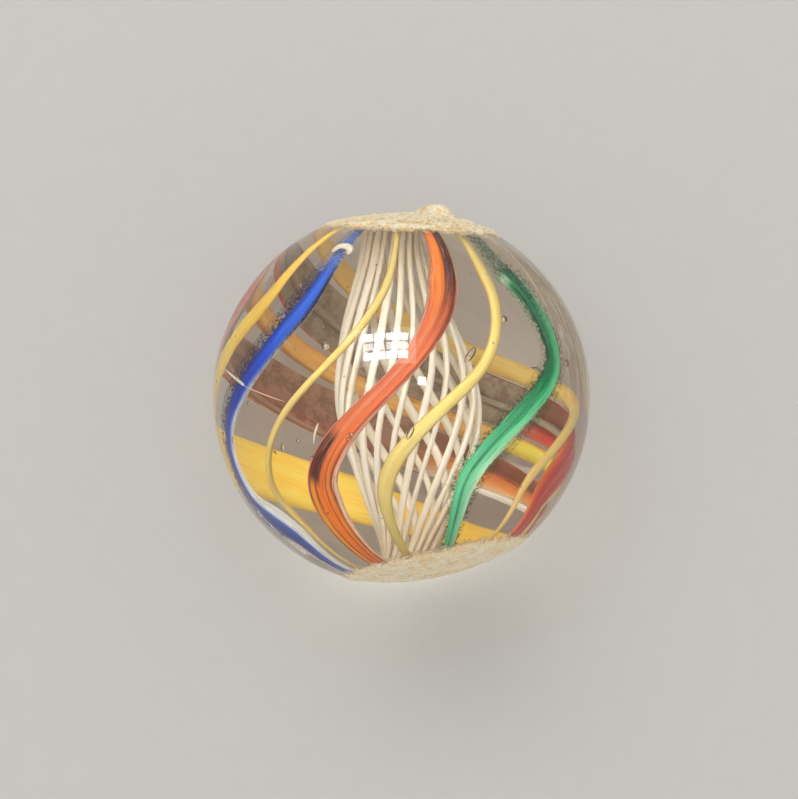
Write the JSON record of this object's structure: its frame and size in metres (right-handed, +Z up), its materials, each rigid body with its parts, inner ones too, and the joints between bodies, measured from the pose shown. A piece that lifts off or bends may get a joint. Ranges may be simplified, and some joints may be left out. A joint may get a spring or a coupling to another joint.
{
  "type": "glass marble",
  "caption": "Handmade clear glass marble with a twisted cage of pale threads in its core, coloured ribbons and yellow strands round it, and a rough scar at each pole.",
  "frame": {"origin": "centre of the ball", "axes": "+Y along the line of the twist, from the foot scar to the crown scar with the blob; +Z up, away from the surface that the ball lies on; +X across"},
  "size_m": [0.0174, 0.017, 0.0176],
  "materials": {
    "clear_glass": "fire-polished, with two rough scars",
    "blue_glass": "cobalt blue glass inside clear glass",
    "orange_glass": "opaque orange glass with pink and maroon edges",
    "green_glass": "emerald to mint green glass with dark edges",
    "red_glass": "streaky opaque red glass",
    "rust_glass": "brownish red glass",
    "pale_glass": "opaque off-white glass",
    "yellow_glass": "opaque warm yellow glass with olive edges",
    "cream_glass": "opaque cream glass threads"
  },
  "bodies": {
    "root": {"clear_body": "clear_glass", "blue_ribbon": "blue_glass", "orange_ribbon": "orange_glass", "green_ribbon": "green_glass", "red_ribbon": "red_glass", "rust_ribbon": "rust_glass", "blue_backing": "pale_glass", "orange_backing": "pale_glass", "green_backing": "pale_glass", "red_backing": "pale_glass", "rust_backing": "pale_glass", "yellow_strand_1": "yellow_glass", "yellow_strand_2": "yellow_glass", "yellow_strand_3": "yellow_glass", "yellow_strand_4": "yellow_glass", "yellow_strand_5": "yellow_glass", "core_thread_1": "cream_glass", "core_thread_2": "cream_glass", "core_thread_3": "cream_glass", "core_thread_4": "cream_glass", "core_thread_5": "cream_glass", "core_thread_6": "cream_glass", "core_thread_7": "cream_glass", "core_thread_8": "cream_glass", "core_thread_9": "cream_glass", "core_thread_10": "cream_glass", "core_thread_11": "cream_glass", "core_thread_12": "cream_glass", "core_thread_13": "cream_glass", "core_thread_14": "cream_glass", "core_thread_15": "cream_glass", "core_thread_16": "cream_glass", "core_thread_17": "cream_glass", "core_thread_18": "cream_glass"}
  },
  "joints": []
}
